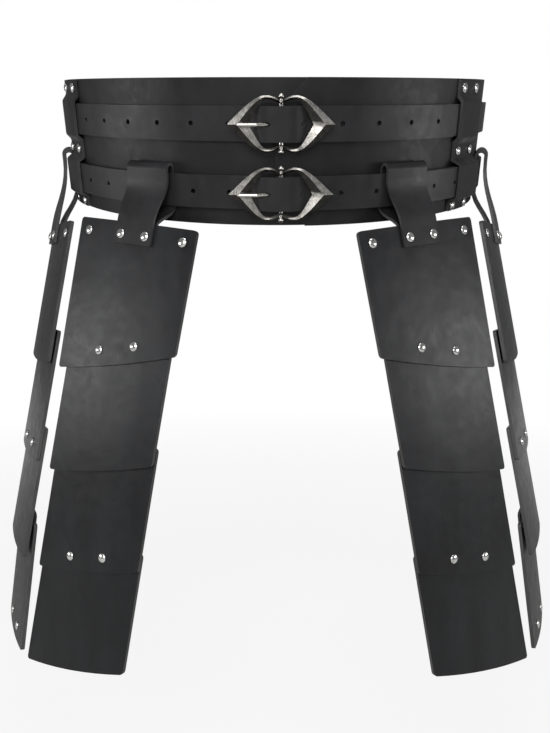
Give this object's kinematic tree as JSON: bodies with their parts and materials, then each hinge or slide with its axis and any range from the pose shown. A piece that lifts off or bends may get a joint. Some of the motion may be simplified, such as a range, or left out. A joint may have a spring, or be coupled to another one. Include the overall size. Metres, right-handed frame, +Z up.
{
  "type": "thigh armour belt",
  "caption": "Black leather waist belt with two buckled straps, from which four columns of overlapping leather plates hang over the thighs.",
  "frame": {"origin": "centre of the waist opening, at the middle of the wide belt's height at the sides", "axes": "+Z up, -Y to the front where the buckles are, +X to the right seen from the front"},
  "size_m": [0.5556, 0.3481, 0.5894],
  "materials": {
    "belt_leather": "semi-matte, smooth grain",
    "strap_leather": "semi-matte, fine grain",
    "keeper_leather": "semi-matte, fine grain",
    "plate_leather": "waxed, satin, fine grain",
    "buckle_silver": "cast, antiqued, dark in the recesses",
    "prong_steel": "smooth, bright",
    "rivet_nickel": "polished domed caps"
  },
  "bodies": {
    "waist": {"wide_belt": "belt_leather", "upper_strap": "strap_leather", "lower_strap": "strap_leather", "upper_buckle": "buckle_silver", "lower_buckle": "buckle_silver", "left_keeper": "keeper_leather", "right_keeper": "keeper_leather", "rear_left_keeper": "keeper_leather", "rear_right_keeper": "keeper_leather", "left_keeper_rivets": "rivet_nickel", "right_keeper_rivets": "rivet_nickel", "rear_left_keeper_rivets": "rivet_nickel", "rear_right_keeper_rivets": "rivet_nickel"},
    "upper_prong_part": {"upper_prong": "prong_steel"},
    "lower_prong_part": {"lower_prong": "prong_steel"},
    "front_left_upper": {"front_left_hanger": "strap_leather", "front_left_plate_1": "plate_leather", "front_left_plate_2": "plate_leather", "front_left_upper_rivets": "rivet_nickel", "front_left_links": "strap_leather"},
    "front_left_lower": {"front_left_plate_3": "plate_leather", "front_left_plate_4": "plate_leather", "front_left_lower_rivets": "rivet_nickel"},
    "front_right_upper": {"front_right_hanger": "strap_leather", "front_right_plate_1": "plate_leather", "front_right_plate_2": "plate_leather", "front_right_upper_rivets": "rivet_nickel", "front_right_links": "strap_leather"},
    "front_right_lower": {"front_right_plate_3": "plate_leather", "front_right_plate_4": "plate_leather", "front_right_lower_rivets": "rivet_nickel"},
    "side_left_upper": {"side_left_hanger": "strap_leather", "side_left_plate_1": "plate_leather", "side_left_upper_rivets": "rivet_nickel", "side_left_upper_links": "strap_leather"},
    "side_left_middle": {"side_left_plate_2": "plate_leather", "side_left_plate_3": "plate_leather", "side_left_middle_rivets": "rivet_nickel", "side_left_lower_links": "strap_leather"},
    "side_left_lower": {"side_left_plate_4": "plate_leather", "side_left_lower_rivets": "rivet_nickel"},
    "side_right_upper": {"side_right_hanger": "strap_leather", "side_right_plate_1": "plate_leather", "side_right_upper_rivets": "rivet_nickel", "side_right_upper_links": "strap_leather"},
    "side_right_middle": {"side_right_plate_2": "plate_leather", "side_right_plate_3": "plate_leather", "side_right_middle_rivets": "rivet_nickel", "side_right_lower_links": "strap_leather"},
    "side_right_lower": {"side_right_plate_4": "plate_leather", "side_right_lower_rivets": "rivet_nickel"}
  },
  "joints": [
    {"name": "upper_prong_swing", "type": "hinge", "parent": "waist", "child": "upper_prong_part", "pos_m": [0.0045, -0.18108, -0.0357], "axis": [0, -0.309, 0.9511], "range_deg": [0, 6]},
    {"name": "lower_prong_swing", "type": "hinge", "parent": "waist", "child": "lower_prong_part", "pos_m": [0.0045, -0.16734, -0.08381], "axis": [0, -0.309, 0.9511], "range_deg": [0, 6]},
    {"name": "front_left_hang", "type": "hinge", "parent": "waist", "child": "front_left_upper", "pos_m": [-0.10689, -0.13834, -0.06598], "axis": [-0.8634, 0.4798, 0.1559], "range_deg": [0, 75], "deforming": ["front_left_hanger"]},
    {"name": "front_left_link", "type": "hinge", "parent": "front_left_upper", "child": "front_left_lower", "pos_m": [-0.14336, -0.13543, -0.27693], "axis": [0.8634, -0.4798, -0.1559], "range_deg": [0, 35], "stiffness_Nm_per_rad": 0.4, "springref_deg": -5.73, "deforming": ["front_left_links"]},
    {"name": "front_right_hang", "type": "hinge", "parent": "waist", "child": "front_right_upper", "pos_m": [0.10978, -0.14013, -0.06656], "axis": [-0.8536, -0.4955, -0.161], "range_deg": [0, 75], "deforming": ["front_right_hanger"]},
    {"name": "front_right_link", "type": "hinge", "parent": "front_right_upper", "child": "front_right_lower", "pos_m": [0.14745, -0.13654, -0.27729], "axis": [0.8536, 0.4955, 0.161], "range_deg": [0, 35], "stiffness_Nm_per_rad": 0.4, "springref_deg": -5.73, "deforming": ["front_right_links"]},
    {"name": "side_left_hang", "type": "hinge", "parent": "waist", "child": "side_left_upper", "pos_m": [-0.19355, -0.04633, -0.03608], "axis": [-0.4067, 0.8688, 0.2823], "range_deg": [0, 75], "deforming": ["side_left_hanger"]},
    {"name": "side_left_upper_link", "type": "hinge", "parent": "side_left_upper", "child": "side_left_middle", "pos_m": [-0.21637, -0.05752, -0.18951], "axis": [0.4667, -0.8836, -0.0376], "range_deg": [0, 35], "stiffness_Nm_per_rad": 0.5, "springref_deg": -6.88, "deforming": ["side_left_upper_links"]},
    {"name": "side_left_lower_link", "type": "hinge", "parent": "side_left_middle", "child": "side_left_lower", "pos_m": [-0.24159, -0.0633, -0.36661], "axis": [0.4667, -0.8836, -0.0376], "range_deg": [0, 30], "stiffness_Nm_per_rad": 0.3, "springref_deg": -6.88, "deforming": ["side_left_lower_links"]},
    {"name": "side_right_hang", "type": "hinge", "parent": "waist", "child": "side_right_upper", "pos_m": [0.19467, -0.04577, -0.0359], "axis": [-0.3827, -0.8787, -0.2855], "range_deg": [0, 75], "deforming": ["side_right_hanger"]},
    {"name": "side_right_upper_link", "type": "hinge", "parent": "side_right_upper", "child": "side_right_middle", "pos_m": [0.219, -0.05637, -0.18913], "axis": [0.4443, 0.8949, 0.0413], "range_deg": [0, 35], "stiffness_Nm_per_rad": 0.5, "springref_deg": -6.88, "deforming": ["side_right_upper_links"]},
    {"name": "side_right_lower_link", "type": "hinge", "parent": "side_right_middle", "child": "side_right_lower", "pos_m": [0.24579, -0.06151, -0.36603], "axis": [0.4443, 0.8949, 0.0413], "range_deg": [0, 30], "stiffness_Nm_per_rad": 0.3, "springref_deg": -6.88, "deforming": ["side_right_lower_links"]}
  ]
}
